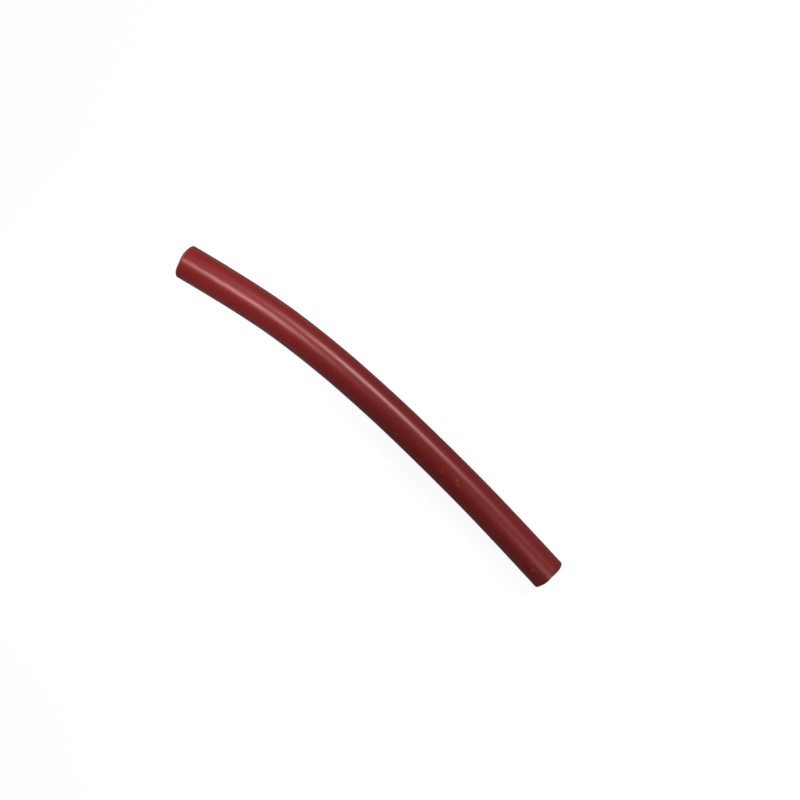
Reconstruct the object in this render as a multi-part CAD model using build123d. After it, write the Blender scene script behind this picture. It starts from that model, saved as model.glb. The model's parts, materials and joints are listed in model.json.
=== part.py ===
from build123d import *
from math import pi, radians, tan
import os

# A cut length of thick-walled rubber tubing for vacuum lines, lying on its side on a flat surface.
# The origin is on that surface, under the middle of the tube's box; +X runs from the tight end to the
# slack end, and the tube bows towards +Y.

# Driving dimensions, in millimetres
bore_diameter = 6.35      # 1/4 in hole, which stretches over a hose barb or a glass tube
wall_thickness = 4.76     # 3/16 in of rubber all round, so that the tube can't collapse under vacuum
tube_length = 218.0       # along the centreline, from cut end to cut end
cut_edge_round = 0.25     # soft edge that the knife leaves round the outside of each end

# The bend that the rubber kept from its coil, tight near one end and slack near the other: the corners
# of the centreline's route, seen from above, as shares of the tube's length along X and along Y.
route_shares = [
    (-0.497, -0.021),
    (-0.333, 0.009),
    (-0.166, 0.021),
    (0.0, 0.020),
    (0.167, 0.011),
    (0.333, -0.002),
    (0.498, -0.021),
]
bend_share = 0.45         # an arc rounds each corner, and takes up this share of the shorter run there

bore_radius = bore_diameter / 2
outer_radius = bore_radius + wall_thickness


def bend_radius(before, corner, after):
    """Radius of the arc that rounds a corner of the route."""
    run_in = corner - before
    run_out = after - corner
    half_turn = radians(run_in.get_angle(run_out)) / 2
    return bend_share * min(run_in.length, run_out.length) / tan(half_turn)


def tube_route():
    """Centreline of the tube: a straight end, a chain of gentle arcs and a straight end."""
    corners = [
        Vector(along_share * tube_length, aside_share * tube_length, outer_radius)
        for along_share, aside_share in route_shares
    ]
    radii = [bend_radius(*three) for three in zip(corners, corners[1:], corners[2:])]
    print("bend radii, mm:", [round(radius, 1) for radius in radii])
    return FilletPolyline(*corners, radius=radii)


def vacuum_tubing(route):
    """The ring of rubber drawn along its route, with the outer edge of both cuts softened."""
    cut_plane = Plane(origin=route @ 0, z_dir=route % 0)
    ring = cut_plane * (Circle(outer_radius) - Circle(bore_radius))
    tube = sweep(ring, path=route)
    cut_faces = tube.faces().filter_by(GeomType.PLANE)
    outer_edges = [edge for face in cut_faces for edge in face.outer_wire().edges()]
    return fillet(outer_edges, radius=cut_edge_round)


route = tube_route()
tubing = vacuum_tubing(route)
tubing.label = "tubing"

ring_area = pi * (outer_radius**2 - bore_radius**2)
print("centreline, mm:", round(route.length, 2))
print("volume, mm3:", round(tubing.volume, 1), "section times length:", round(ring_area * route.length, 1))

os.makedirs("parts", exist_ok=True)
export_step(tubing, "parts/tubing.step")
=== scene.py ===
# %% [markdown]
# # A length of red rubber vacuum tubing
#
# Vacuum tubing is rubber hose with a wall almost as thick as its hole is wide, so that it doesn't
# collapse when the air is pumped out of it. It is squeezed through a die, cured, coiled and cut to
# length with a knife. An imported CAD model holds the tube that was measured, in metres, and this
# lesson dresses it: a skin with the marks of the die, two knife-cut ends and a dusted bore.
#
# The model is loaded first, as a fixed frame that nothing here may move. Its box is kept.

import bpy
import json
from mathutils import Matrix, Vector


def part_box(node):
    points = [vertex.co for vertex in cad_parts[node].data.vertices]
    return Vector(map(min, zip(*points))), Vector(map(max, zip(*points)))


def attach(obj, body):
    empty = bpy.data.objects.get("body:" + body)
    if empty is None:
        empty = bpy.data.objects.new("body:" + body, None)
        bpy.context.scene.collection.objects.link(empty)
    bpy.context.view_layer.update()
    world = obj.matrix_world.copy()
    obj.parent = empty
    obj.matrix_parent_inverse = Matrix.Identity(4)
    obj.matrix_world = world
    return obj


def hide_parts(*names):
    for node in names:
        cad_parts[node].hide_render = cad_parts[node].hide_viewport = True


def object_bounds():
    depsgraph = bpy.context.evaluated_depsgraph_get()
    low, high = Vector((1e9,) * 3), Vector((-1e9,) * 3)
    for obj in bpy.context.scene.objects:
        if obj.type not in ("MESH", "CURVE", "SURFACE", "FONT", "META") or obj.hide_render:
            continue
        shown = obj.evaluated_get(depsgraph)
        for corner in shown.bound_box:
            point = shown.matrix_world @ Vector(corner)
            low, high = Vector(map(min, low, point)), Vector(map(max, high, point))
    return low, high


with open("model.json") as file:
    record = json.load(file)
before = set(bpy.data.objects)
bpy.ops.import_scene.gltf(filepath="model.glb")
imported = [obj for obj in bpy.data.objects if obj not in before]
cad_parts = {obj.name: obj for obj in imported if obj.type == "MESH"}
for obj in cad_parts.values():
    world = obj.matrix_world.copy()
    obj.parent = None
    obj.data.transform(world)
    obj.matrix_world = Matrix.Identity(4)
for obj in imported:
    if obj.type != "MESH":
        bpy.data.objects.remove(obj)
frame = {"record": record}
cad_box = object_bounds()
print("CAD box, m:", [[round(value, 4) for value in corner] for corner in cad_box])

# %% [markdown]
# ## Sizes
#
# Typing sizes again invites mistakes, so the script asks the frame for them. The tube lies on its
# side, so the height of its box is its outer diameter, and the record states the radius of the bore
# at each mouth.

# %% Read the tube's sizes
import math
from bisect import bisect
import json

import bpy
from mathutils import Vector

MM = 0.001                    # Blender works in metres here

low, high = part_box("tubing")
outer_radius = (high.z - low.z) / 2
mouths = {mount["name"]: mount for mount in frame["record"]["mounts"]}
bore_radius = mouths["tight_end_bore"]["dims"]["r_mm"] * MM
wall = outer_radius - bore_radius
sizes = {"outer radius": outer_radius, "bore radius": bore_radius, "wall": wall}
print("sizes, mm:", {name: round(size / MM, 3) for name, size in sizes.items()})

# %% [markdown]
# ## The camera
#
# The photograph looks straight down on the tube from a short distance: both ends bulge a little, which
# only happens when the camera is near. A camera object with no tilt already looks down, so it only has
# to be raised and turned. How much of the table the picture takes in sets the height.

# %% Place the camera over the tube
SENSOR_WIDTH = 36.0           # mm, Blender's usual sensor
LENS = 41.4                   # mm, from how much the ends bulge
VIEW_WIDTH = 361.4 * MM       # width of the picture at the height of the tube's middle
VIEW_CENTRE = (6.15 * MM, 11.38 * MM)
VIEW_TURN = 40.79             # degrees that the tube slopes down to the right in the picture

camera_data = bpy.data.cameras.new("overhead_camera")
camera_data.sensor_width = SENSOR_WIDTH
camera_data.lens = LENS
camera = bpy.data.objects.new("overhead_camera", camera_data)
camera.location = (*VIEW_CENTRE, outer_radius + VIEW_WIDTH * LENS / SENSOR_WIDTH)
camera.rotation_euler = (0, 0, math.radians(VIEW_TURN))
scene = bpy.context.scene
scene.collection.objects.link(camera)
scene.camera = camera
print("camera height, mm:", round(camera.location.z / MM, 1))

# %% [markdown]
# ## The bend
#
# Rubber keeps some of the bend of the coil that it was stored in: tight near one end here, slack near
# the other. A NURBS spline suits it, because it is smooth and only leans towards its control points.
# These are the corners of the route that the CAD model was swept along, as shares of the tube's length.
# The spline is turned into a mesh once, which gives points along it that a tube can be built on.

# %% Draw the centreline
TUBE_LENGTH = 218 * MM
ROUTE_SHARES = [
    (-0.497, -0.021),
    (-0.333, 0.009),
    (-0.166, 0.021),
    (0.0, 0.020),
    (0.167, 0.011),
    (0.333, -0.002),
    (0.498, -0.021),
]
ROUTE_STEPS = 40              # points on the spline for each control point

route = bpy.data.curves.new("tube_route", "CURVE")
route.dimensions = "3D"
route.resolution_u = ROUTE_STEPS
spline = route.splines.new("NURBS")
spline.points.add(len(ROUTE_SHARES) - 1)
for point, (along, aside) in zip(spline.points, ROUTE_SHARES):
    point.co = (along * TUBE_LENGTH, aside * TUBE_LENGTH, outer_radius, 1)
spline.order_u = 3
spline.use_endpoint_u = True

carrier = bpy.data.objects.new("tube_route", route)
drawn = bpy.data.meshes.new_from_object(carrier)
centreline = [vertex.co.copy() for vertex in drawn.vertices]
bpy.data.objects.remove(carrier)
bpy.data.meshes.remove(drawn)
print("points on the centreline:", len(centreline))

# %% [markdown]
# A place on the tube is easier to think of as a distance from one end, as if the tube were pulled
# straight. This cell measures that distance at each point, and gives the point and the direction at
# any distance in between.

# %% Measure along the centreline
stations = [0.0]
for before, after in zip(centreline, centreline[1:]):
    stations.append(stations[-1] + (after - before).length)
length = stations[-1]

neighbours = [centreline[0], *centreline, centreline[-1]]
directions = [(after - before).normalized() for before, after in zip(neighbours, neighbours[2:])]


def along_route(station):
    """The centreline's point and direction at a distance from the tight end."""
    k = min(max(bisect(stations, station) - 1, 0), len(centreline) - 2)
    share = (station - stations[k]) / (stations[k + 1] - stations[k])
    point = centreline[k].lerp(centreline[k + 1], share)
    return point, directions[k].lerp(directions[k + 1], share).normalized()


def nearer_end(station):
    """The end that a station is nearer to, and how near: 0 in the middle, 1 at the cut."""
    share = 2 * station / length - 1
    return ("tight" if share < 0 else "slack"), abs(share)


print("length along the centreline, mm:", round(length / MM, 2))

# %% [markdown]
# ## The rings
#
# A curve with a round bevel would give a solid rod. A tube that can be looked into needs a skin, two
# cut faces and a bore, so it is built from rings of points, like a bracelet of beads: along the skin,
# over one cut, back through the bore and over the other cut to the start. Joined ring to ring, that is
# one closed mesh with no seam. Small quarter rounds stand for the edges that the knife leaves.

# %% List the rings
SKIN, CUT, BORE = range(3)    # which finish the band after a ring has
SKIN_STEP = 0.6 * MM          # from ring to ring along the skin
BORE_STEP = 3.0 * MM          # and along the bore, of which little shows
EDGE_ROUND = 0.25 * MM        # outer edge of a cut
LIP_ROUND = 0.15 * MM         # inner edge, at the mouth of the bore
EDGE_RINGS = 4                # bands in a quarter round
FACE_RINGS = 12               # bands over the flat of a cut


def over_the_cut():
    """Rings from the skin over a cut to the bore, as (depth below the cut, radius)."""
    profile = []
    for k in range(EDGE_RINGS + 1):
        turn = math.pi / 2 * k / EDGE_RINGS
        depth = EDGE_ROUND * (1 - math.sin(turn))
        profile.append((depth, outer_radius - EDGE_ROUND * (1 - math.cos(turn))))
    face_outer, face_inner = outer_radius - EDGE_ROUND, bore_radius + LIP_ROUND
    for k in range(1, FACE_RINGS):
        profile.append((0.0, face_outer + (face_inner - face_outer) * k / FACE_RINGS))
    for k in range(EDGE_RINGS + 1):
        turn = math.pi / 2 * k / EDGE_RINGS
        depth = LIP_ROUND * (1 - math.cos(turn))
        profile.append((depth, bore_radius + LIP_ROUND * (1 - math.sin(turn))))
    return profile


def stations_between(start, end, step):
    """Stations between two others, the ends left out."""
    count = round(abs(end - start) / step)
    return [start + (end - start) * k / count for k in range(1, count)]


cut = over_the_cut()
outward_run = stations_between(EDGE_ROUND, length - EDGE_ROUND, SKIN_STEP)
return_run = stations_between(length - LIP_ROUND, LIP_ROUND, BORE_STEP)
rings = [(station, outer_radius, SKIN) for station in outward_run]
rings += [(length - depth, radius, CUT) for depth, radius in cut]
rings += [(station, bore_radius, BORE) for station in return_run]
rings += [(depth, radius, CUT) for depth, radius in reversed(cut)]
print("rings:", len(rings))

# %% [markdown]
# ## Out of true
#
# Nothing that comes out of a die is a perfect cylinder, and the eye sees it in the outline and in the
# highlights, which wander where the surface does. In the photograph the tube thickens a little towards
# its ends. It is also a hair oval, and nicks in the die draw faint ridges and grooves along it. These
# are real shapes, so they go into the mesh, as a height over the true cylinder.

# %% Shape the skin
SWELL = {"tight": 0.14 * MM, "slack": 0.09 * MM}    # how much thicker the tube is at its ends, in radius
WAIST = 0.03 * MM             # and how much thinner in the middle
OVAL = 0.02 * MM
DIE_MARKS = [                 # where round the tube, in degrees from the top, height and width, in mm
    (-71, 0.006, 1.2),
    (66, 0.006, 1.3),
    (118, 0.008, 1.0),
    (171, -0.006, 0.9),
    (-132, 0.007, 1.1),
]


def girth(station):
    """How much more, or less, than the true outer radius the tube has all round."""
    end, nearness = nearer_end(station)
    return (SWELL[end] + WAIST) * nearness - WAIST


def skin_relief(station, angle):
    """How far the skin stands out from the true cylinder."""
    relief = girth(station) + OVAL * math.cos(2 * angle)
    for degrees, height, width in DIE_MARKS:
        aside = math.remainder(angle - math.radians(degrees), 2 * math.pi) * outer_radius
        relief += height * MM * math.exp(-((aside / (width * MM)) ** 2))
    return relief


print("girth at the ends and the middle, mm:", [round(girth(at) / MM, 2) for at in (0, length, length / 2)])

# %% [markdown]
# A knife held in the hand leans, so neither cut is quite square: the tight end leans out at the top by
# about four degrees. The blade also pushes rubber aside as it goes through, so the faces are slightly
# wavy. Both are a push along the tube, full at the cut and fading out just behind it.

# %% Shape the cuts
KNIFE_FADE = 1.5 * MM         # how deep behind a cut its shape still shows
CUTS = {                      # mm at the rim: how far a cut is set out, leans out at the top, and at +Y
    "tight": (-0.42, 0.58, 0.18),
    "slack": (-0.08, 0.12, -0.05),
}
KNIFE_WAVES = {               # height in mm, then place and length as shares of the outer radius
    "tight": (0.11, 0.50, 1.1),
    "slack": (-0.12, 0.36, 1.0),
}
WAVE_SLANT = 0.25             # how far the waves lean aside for each step up


def knife_push(station, side, up):
    """How far a cut, and the rubber just behind it, is out of square, towards the slack end."""
    end, nearness = nearer_end(station)
    out, lean, skew = CUTS[end]
    height, place, wavelength = KNIFE_WAVES[end]
    aside, above = side / outer_radius, up / outer_radius
    wave = height * math.cos(2 * math.pi * (aside + WAVE_SLANT * above - place) / wavelength)
    outward = (out + lean * above + skew * aside + wave) * MM
    depth = (1 - nearness) * length / 2
    return (-outward if end == "tight" else outward) * math.exp(-depth / KNIFE_FADE)


for end, (_, lean, _) in CUTS.items():
    print(end, "cut leans by, degrees:", round(math.degrees(math.atan(lean * MM / outer_radius)), 1))

# %% [markdown]
# ## The mesh
#
# Each ring is turned into points, and each point also remembers where it would be on a straight tube:
# its distance along, to the side and up. The finishes read that later, so that their patterns run
# along the tube and follow the bend.

# %% Turn the rings into points
AROUND = 160                  # points in a ring

points, straight = [], []
for station, radius, _ in rings:
    centre, forward = along_route(station)
    centre.z += girth(station)    # a thicker place lies higher on the table
    sideways = Vector((0, 0, 1)).cross(forward)
    for k in range(AROUND):
        angle = 2 * math.pi * k / AROUND
        reach = radius + skin_relief(station, angle) * (radius - bore_radius) / wall
        side, up = reach * math.sin(angle), reach * math.cos(angle)
        push = knife_push(station, side, up)
        points.append(centre + sideways * side + Vector((0, 0, up)) + forward * push)
        straight.append((station, side, up))
print("points:", len(points))

# %% [markdown]
# Faces join each ring to the next, and the last to the first. Their corners are listed so that the
# faces look outwards. Blender keeps the straightened places as an attribute of the mesh.

# %% Join the points
faces, zones = [], []
for i, (_, _, zone) in enumerate(rings):
    here, there = i * AROUND, (i + 1) % len(rings) * AROUND
    for k in range(AROUND):
        beside = (k + 1) % AROUND
        faces.append((here + k, there + k, there + beside, here + beside))
        zones.append(zone)

tube_mesh = bpy.data.meshes.new("vacuum_tube")
tube_mesh.from_pydata(points, [], faces)
tube_mesh.polygons.foreach_set("use_smooth", [True] * len(faces))
tube_mesh.polygons.foreach_set("material_index", zones)
pulled_straight = tube_mesh.attributes.new("straight", "FLOAT_VECTOR", "POINT")
pulled_straight.data.foreach_set("vector", [value for place in straight for value in place])
tube_mesh.update()

tube = bpy.data.objects.new("vacuum_tube", tube_mesh)
scene.collection.objects.link(tube)
print("faces:", len(faces))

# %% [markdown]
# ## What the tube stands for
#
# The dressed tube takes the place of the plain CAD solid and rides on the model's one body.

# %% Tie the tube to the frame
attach(tube, "root")
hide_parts("tubing")
print("hose, mm:", round(TUBE_LENGTH / MM), "long,", round(2 * outer_radius / MM, 2), "across")

# %% [markdown]
# ## Helpers for the finishes
#
# Colours are easiest to write as the hex values of a screen, but a shader adds up light, so it needs
# them linear. Shader nodes take several lines each to add, set and link, so one small function does
# that. Settings go to a property or a socket of that name, and links join a socket to an output.

# %% Helpers for colours, nodes and rubber
def linear(hex_colour):
    """An sRGB hex colour as linear red, green, blue and alpha."""
    shares = [int(hex_colour[k:k + 2], 16) / 255 for k in (1, 3, 5)]
    return [s / 12.92 if s <= 0.04045 else ((s + 0.055) / 1.055) ** 2.4 for s in shares] + [1.0]


def add_node(tree, kind, settings=None, links=None):
    """Adds a node to a tree, with its settings and links, and returns it."""
    node = tree.nodes.new(kind)
    for name, value in (settings or {}).items():
        if isinstance(name, str) and hasattr(node, name):
            setattr(node, name, value)
        else:
            node.inputs[name].default_value = value
    for name, output in (links or {}).items():
        tree.links.new(output, node.inputs[name])
    return node


MIX_FACTOR, MIX_A, MIX_B, MIX_RESULT = 0, 6, 7, 2    # sockets of a Mix node that mixes colours


def new_rubber(name, settings):
    """A material on the tube, with its shader and the tube's straightened places."""
    material = bpy.data.materials.new(name)
    material.use_nodes = True
    tree = material.node_tree
    tree.nodes.clear()
    shader = add_node(tree, "ShaderNodeBsdfPrincipled", settings)
    add_node(tree, "ShaderNodeOutputMaterial", links={"Surface": shader.outputs["BSDF"]})
    places = add_node(tree, "ShaderNodeAttribute", {"attribute_name": "straight"}).outputs["Vector"]
    tube_mesh.materials.append(material)
    return tree, shader, places


WHITE = linear("#FFFFFF")
print("white in linear light:", WHITE)

# %% [markdown]
# ## The skin: extruded red rubber
#
# The rubber is coloured through and through with red oxide, and its skin was smoothed by a steel die
# and then cured. Rubber's index of refraction is about 1.52, and a roughness of about a third gives the
# long, clear but soft highlights of the photograph. They look pinkish there, because a thin bloom of
# red dust lies on the skin, so the shine is tinted. The pigment isn't mixed quite evenly, so two reds
# are blended by a soft noise in patches of some millimetres.

# %% Skin: pigment
RUBBER_IOR = 1.52
PATCH = 7 * MM                # patches of pigment
SKIN_ROUGHNESS = (0.315, 0.36)    # least and most, in patches too

# Extruded red rubber: a deep brick red with a satin shine
skin, skin_shader, skin_place = new_rubber(
    "extruded_red_rubber", {"IOR": RUBBER_IOR, "Specular Tint": linear("#FFCBCA")}
)
patches = add_node(
    skin,
    "ShaderNodeTexNoise",
    {"Scale": 1 / PATCH, "Detail": 3.0, "Roughness": 0.6},
    {"Vector": skin_place},
)
pigment = add_node(
    skin,
    "ShaderNodeMix",
    {"data_type": "RGBA", MIX_A: linear("#7F2322"), MIX_B: linear("#892726")},
    {MIX_FACTOR: patches.outputs["Fac"]},
)
shine = add_node(
    skin,
    "ShaderNodeMapRange",
    {"To Min": SKIN_ROUGHNESS[0], "To Max": SKIN_ROUGHNESS[1]},
    {"Value": patches.outputs["Fac"]},
)
skin.links.new(shine.outputs["Result"], skin_shader.inputs["Roughness"])
print("patches of pigment, mm:", PATCH / MM)

# %% [markdown]
# Finer marks of the die run along the tube, too fine for the mesh. They are a noise that is stretched
# that way, and they tilt the surface a little, as a bump. The grain of the cured rubber is finer
# still, about a tenth of a millimetre, which is less than the picture can show, so it is drawn seven
# times as coarse.

# %% Skin: fine die lines and grain
DIE_LINE = 0.5 * MM           # width of a fine line
DIE_LINE_RUN = 60             # times as long as it is wide
DIE_LINE_HEIGHT = 0.0006      # mm
GRAIN = 0.7 * MM              # drawn coarser than the real grain, so that it shows
GRAIN_HEIGHT = 0.008          # mm

stretched = add_node(
    skin, "ShaderNodeMapping", {"Scale": (1 / DIE_LINE_RUN, 1, 1)}, {"Vector": skin_place}
)
die_lines = add_node(
    skin,
    "ShaderNodeTexNoise",
    {"Scale": 1 / DIE_LINE, "Detail": 2.0},
    {"Vector": stretched.outputs["Vector"]},
)
grain = add_node(skin, "ShaderNodeTexNoise", {"Scale": 1 / GRAIN, "Detail": 2.0}, {"Vector": skin_place})
grain_height = add_node(
    skin, "ShaderNodeMath", {"operation": "MULTIPLY", 1: GRAIN_HEIGHT}, {0: grain.outputs["Fac"]}
)
height = add_node(
    skin,
    "ShaderNodeMath",
    {"operation": "MULTIPLY_ADD", 1: DIE_LINE_HEIGHT},
    {0: die_lines.outputs["Fac"], 2: grain_height.outputs["Value"]},
)
print("fine die lines and grain, mm:", DIE_LINE / MM, GRAIN / MM)

# %% [markdown]
# A tube that has been handled has nicks, and the photograph shows six. Each is a shallow pit one or two
# millimetres across, too small for the mesh, with a paler ring where its rim is scuffed. A pit is a soft
# spot round one place on the straightened tube. It lowers the surface, and half-way down its side, where
# the spot is at half its strength, it mixes the paler red in.

# %% Skin: nicks
NICK_DEPTH = 0.06             # mm
HALF_WAY = 0.5                # strength of a spot at the paler ring
SCUFFED = linear("#B4605A")
NICKS = [                     # share of the length, degrees from the top, reach along and across in mm
    (0.385, 55, 0.7, 0.7),
    (0.570, -33, 1.0, 0.7),
    (0.690, -19, 0.7, 1.0),
    (0.724, -5, 0.8, 1.0),
    (0.732, -12, 1.1, 0.9),
    (0.964, -26, 0.7, 1.3),
]

surface, colour = height.outputs["Value"], pigment.outputs[MIX_RESULT]
for share, degrees, along, across in NICKS:
    turn = math.radians(degrees)
    centre = (share * length, outer_radius * math.sin(turn), outer_radius * math.cos(turn))
    extent = (along * MM, across * MM, across * MM)
    spot = add_node(
        skin,
        "ShaderNodeMapping",
        {"vector_type": "TEXTURE", "Location": centre, "Scale": extent},
        {"Vector": skin_place},
    )
    reach = add_node(skin, "ShaderNodeVectorMath", {"operation": "LENGTH"}, {0: spot.outputs["Vector"]})
    pit = add_node(
        skin,
        "ShaderNodeMapRange",
        {"interpolation_type": "SMOOTHSTEP", "To Min": 1.0, "To Max": 0.0},
        {"Value": reach.outputs["Value"]},
    ).outputs["Result"]
    surface = add_node(
        skin, "ShaderNodeMath", {"operation": "MULTIPLY_ADD", 1: -NICK_DEPTH}, {0: pit, 2: surface}
    ).outputs["Value"]
    rim = add_node(
        skin, "ShaderNodeMath", {"operation": "PINGPONG", 1: HALF_WAY}, {0: pit}
    ).outputs["Value"]
    colour = add_node(
        skin, "ShaderNodeMix", {"data_type": "RGBA", MIX_B: SCUFFED}, {MIX_FACTOR: rim, MIX_A: colour}
    ).outputs[MIX_RESULT]

skin_bump = add_node(skin, "ShaderNodeBump", {"Distance": MM}, {"Height": surface})    # heights in mm
skin.links.new(skin_bump.outputs["Normal"], skin_shader.inputs["Normal"])
skin.links.new(colour, skin_shader.inputs["Base Color"])
print("nicks:", len(NICKS))

# %% [markdown]
# ## The ends: knife-cut rubber
#
# A cut shows the inside of the wall, which never touched the die. It is duller and a little paler than
# the skin, with drag lines where the blade went through. The lines are a noise stretched along the
# stroke of the knife.

# %% Cut ends
DRAG_LINE = 0.35 * MM
DRAG_LINE_RUN = 14            # times as long as it is wide
DRAG_HEIGHT = 0.05            # mm
STROKE = math.radians(35)     # slope of the knife's stroke
CUT_ROUGHNESS = 0.62

# Knife-cut red rubber: matt and slightly streaky, with none of the skin's highlights
cut_face, cut_shader, cut_place = new_rubber(
    "knife_cut_red_rubber", {"IOR": RUBBER_IOR, "Roughness": CUT_ROUGHNESS}
)
stroke = add_node(
    cut_face,
    "ShaderNodeMapping",
    {"Rotation": (STROKE, 0, 0), "Scale": (1, 1 / DRAG_LINE_RUN, 1)},
    {"Vector": cut_place},
)
drag_lines = add_node(
    cut_face,
    "ShaderNodeTexNoise",
    {"Scale": 1 / DRAG_LINE, "Detail": 3.0},
    {"Vector": stroke.outputs["Vector"]},
)
torn = add_node(
    cut_face,
    "ShaderNodeMix",
    {"data_type": "RGBA", MIX_A: linear("#6E2420"), MIX_B: linear("#A04C44")},
    {MIX_FACTOR: drag_lines.outputs["Fac"]},
)
cut_face.links.new(torn.outputs[MIX_RESULT], cut_shader.inputs["Base Color"])
drag_height = add_node(
    cut_face, "ShaderNodeMath", {"operation": "MULTIPLY", 1: DRAG_HEIGHT}, {0: drag_lines.outputs["Fac"]}
)
cut_bump = add_node(cut_face, "ShaderNodeBump", {"Distance": MM}, {"Height": drag_height.outputs["Value"]})
cut_face.links.new(cut_bump.outputs["Normal"], cut_shader.inputs["Normal"])
print("drag lines, mm:", DRAG_LINE / MM)

# %% [markdown]
# ## The bore: rubber dusted with talc
#
# The bore was formed round a pin and dusted with talc, so that its wall doesn't stick to itself while
# the tube is coiled. The dust lies unevenly, pale pink over the red, and takes the shine away.

# %% Bore
DUST = 1.5 * MM               # patches of dust
DUST_ROUGHNESS = 0.8

# Talc-dusted red rubber: a dull, patchy pink that soon goes dark inside the tube
bore, bore_shader, bore_place = new_rubber(
    "talc_dusted_red_rubber", {"IOR": RUBBER_IOR, "Roughness": DUST_ROUGHNESS}
)
dust = add_node(bore, "ShaderNodeTexNoise", {"Scale": 1 / DUST, "Detail": 4.0}, {"Vector": bore_place})
dusted = add_node(
    bore,
    "ShaderNodeMix",
    {"data_type": "RGBA", MIX_A: linear("#6E2624"), MIX_B: linear("#A8706A")},
    {MIX_FACTOR: dust.outputs["Fac"]},
)
bore.links.new(dusted.outputs[MIX_RESULT], bore_shader.inputs["Base Color"])
print("materials on the tube:", [material.name for material in tube_mesh.materials])

# %% [markdown]
# ## The table
#
# The tube lies on a plain pale table that looks white to the camera. A table bright enough to be white
# by light alone would throw that light back at the tube and wash out its sides. So most of the white is
# a glow that is shown to the camera and through glass, and only a little of it to reflections, because
# the rubber's dark sides in the photograph reflect no white. The rest is a plain matt grey, which takes
# the tube's shadow.

# %% Table
TABLE_WIDTH = 12.0            # m, wide enough for the low views
TABLE_GAP = 0.05 * MM         # keeps the table clear of the tube
TABLE_GLOW = 0.88             # how much of its white the table shows by itself
SHINE_SHARE = 0.05            # how much of the white the rubber's shine sees


def white_seen(tree):
    """How much of the white a ray sees: the camera and glass all of it, a shine some, lighting none."""
    rays = add_node(tree, "ShaderNodeLightPath")
    clear = add_node(
        tree,
        "ShaderNodeMath",
        {"operation": "MAXIMUM"},
        {0: rays.outputs["Is Camera Ray"], 1: rays.outputs["Is Transmission Ray"]},
    )
    seen = add_node(
        tree,
        "ShaderNodeMath",
        {"operation": "MULTIPLY_ADD", 1: SHINE_SHARE, "use_clamp": True},
        {0: rays.outputs["Is Glossy Ray"], 2: clear.outputs["Value"]},
    )
    return seen.outputs["Value"]


# Matt white paint: plain white, with a faint soft shadow under the tube
table_paint = bpy.data.materials.new("matt_white_paint")
table_paint.use_nodes = True
paint = table_paint.node_tree
paint.nodes.clear()
glow = add_node(paint, "ShaderNodeEmission", {"Color": WHITE, "Strength": TABLE_GLOW})
seen = white_seen(paint)
shown = add_node(paint, "ShaderNodeMixShader", links={"Fac": seen, 2: glow.outputs["Emission"]})
matt = add_node(paint, "ShaderNodeBsdfDiffuse", {"Color": linear("#858585")})
both = add_node(paint, "ShaderNodeAddShader", links={0: matt.outputs["BSDF"], 1: shown.outputs["Shader"]})
add_node(paint, "ShaderNodeOutputMaterial", links={"Surface": both.outputs["Shader"]})

half = TABLE_WIDTH / 2
table_z = cad_box[0].z - TABLE_GAP
corners = [(-half, -half, table_z), (half, -half, table_z), (half, half, table_z), (-half, half, table_z)]
table_mesh = bpy.data.meshes.new("table")
table_mesh.from_pydata(corners, [], [range(4)])
table_mesh.materials.append(table_paint)
table = bpy.data.objects.new("table", table_mesh)
scene.collection.objects.link(table)
print("table height, mm:", round(table_z / MM, 2))

# %% [markdown]
# ## The room
#
# A dim room surrounds the table, paler near the horizon and dark overhead, so that the lamps alone make
# the highlights. The camera sees a plain backdrop in its place, as bright as the far end of the table,
# so that low views have no hard horizon.

# %% Room
ROOM_LOW, ROOM_HIGH = 0.25, 0.03    # brightness at the horizon and overhead
LOW_EDGE, HIGH_EDGE = 0.05, 0.20    # sines of the heights where the pale part ends and the dark starts
BACKDROP = 0.91               # as bright as the far end of the table

room = bpy.data.worlds.new("room")
room.use_nodes = True
air = room.node_tree
air.nodes.clear()
sight = add_node(air, "ShaderNodeTexCoord")
parts = add_node(air, "ShaderNodeSeparateXYZ", links={"Vector": sight.outputs["Generated"]})
level = add_node(
    air,
    "ShaderNodeMapRange",
    {"From Min": LOW_EDGE, "From Max": HIGH_EDGE, "To Min": ROOM_LOW, "To Max": ROOM_HIGH},
    {"Value": parts.outputs["Z"]},
)
walls = add_node(air, "ShaderNodeBackground", {"Color": WHITE}, {"Strength": level.outputs["Result"]})
backdrop = add_node(air, "ShaderNodeBackground", {"Color": WHITE, "Strength": BACKDROP})
surroundings = add_node(
    air,
    "ShaderNodeMixShader",
    links={"Fac": white_seen(air), 1: walls.outputs["Background"], 2: backdrop.outputs["Background"]},
)
add_node(air, "ShaderNodeOutputWorld", links={"Surface": surroundings.outputs["Shader"]})
scene.world = room
print("room from", ROOM_LOW, "at the horizon to", ROOM_HIGH, "overhead")

# %% [markdown]
# ## The lamps
#
# The highlights in the photograph tell where its lamps were, because a mirror on the tube's back would
# show them there. A soft lamp close overhead, aimed at the tight end, draws the broad band on that half.
# A small one to the side, about half-way up, draws the thin streak along the middle. It is seen only in
# reflections, because the light of so small a lamp would throw a hard shadow. A weak one beyond the
# slack end gives the faint sheen there.

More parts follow.
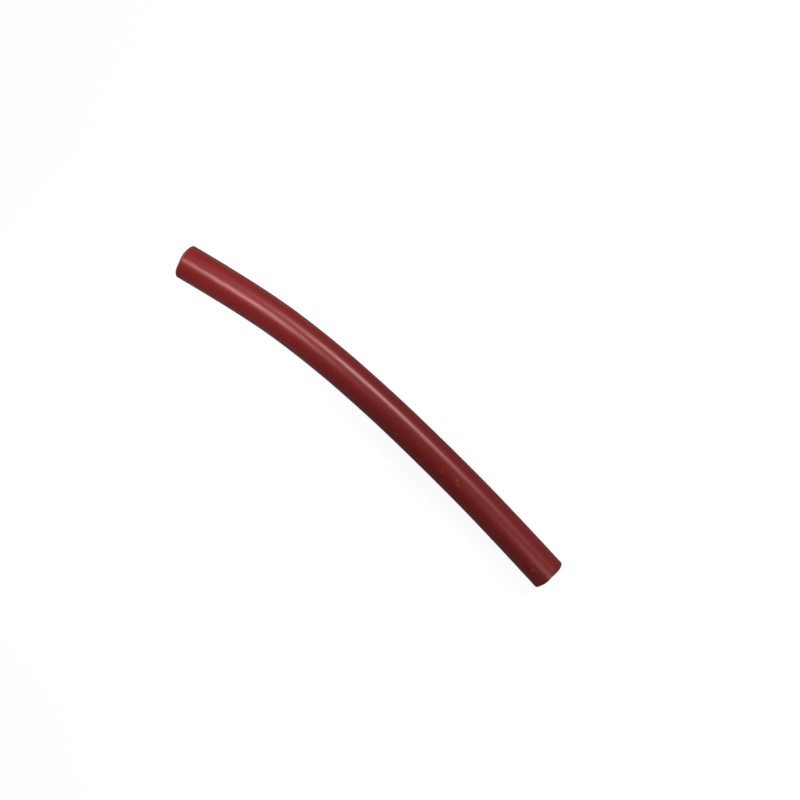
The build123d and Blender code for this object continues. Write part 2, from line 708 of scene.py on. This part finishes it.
# %% Lamps that draw the highlights
SIDE = (-0.06, 1.40, 1.55)    # where the light from the side stands
MIDDLE = (0, 0, 0)            # on the table, under the tube
WIDE_OPEN = 180               # degrees, the spread of a plain lamp
HIGHLIGHT_LAMPS = [           # name, place, aim, width and depth in m, spread in degrees, power in W
    ("soft_overhead_lamp", (-0.157, -0.026, 0.47), (-0.079, -0.026, 0), (0.20, 0.062), 22.7, 0.0353),
    ("small_side_lamp", SIDE, MIDDLE, (0.36, 0.10), WIDE_OPEN, 18.2),
    ("weak_fill_lamp", (0.33, -0.03, 0.47), MIDDLE, (0.24, 0.20), WIDE_OPEN, 0.94),
]


def add_lamp(name, place, aim, size, spread, power):
    """Adds a rectangular lamp that the camera doesn't see, turned to its aim, and returns it."""
    lamp_data = bpy.data.lights.new(name, "AREA")
    lamp_data.shape = "RECTANGLE"
    lamp_data.size, lamp_data.size_y = size
    lamp_data.spread = math.radians(spread)
    lamp_data.energy = power
    lamp = bpy.data.objects.new(name, lamp_data)
    lamp.location = place
    lamp.rotation_euler = (Vector(aim) - lamp.location).to_track_quat("-Z", "Y").to_euler()
    lamp.visible_camera = False
    scene.collection.objects.link(lamp)
    print(name, "distance, m:", round(lamp.location.length, 2))
    return lamp


highlight_lamps = {row[0]: add_lamp(*row) for row in HIGHLIGHT_LAMPS}
highlight_lamps["small_side_lamp"].visible_diffuse = False

# %% [markdown]
# A large lamp stands where the small one is and gives its light, with a soft shadow. The cut ends face
# none of these lamps, so two low ones light them. All three are kept out of reflections, or they would
# draw highlights of their own along the tube.

# %% Lamps that only light
LOW = (0, 0, outer_radius)    # half-way up the tube
LIGHTING_LAMPS = [            # the same columns as above
    ("soft_side_lamp", SIDE, MIDDLE, (0.9, 0.9), WIDE_OPEN, 18.2),
    ("tight_end_lamp", (-1.3, 0, 0.07), LOW, (0.30, 0.10), WIDE_OPEN, 5.0),
    ("slack_end_lamp", (1.3, 0, 0.07), LOW, (0.30, 0.10), WIDE_OPEN, 5.0),
]

for row in LIGHTING_LAMPS:
    add_lamp(*row).visible_glossy = False

# %% [markdown]
# ## The last look
#
# The colours are shown as they are, with no film look over them.

# %% Finish
scene.view_settings.view_transform = "Standard"
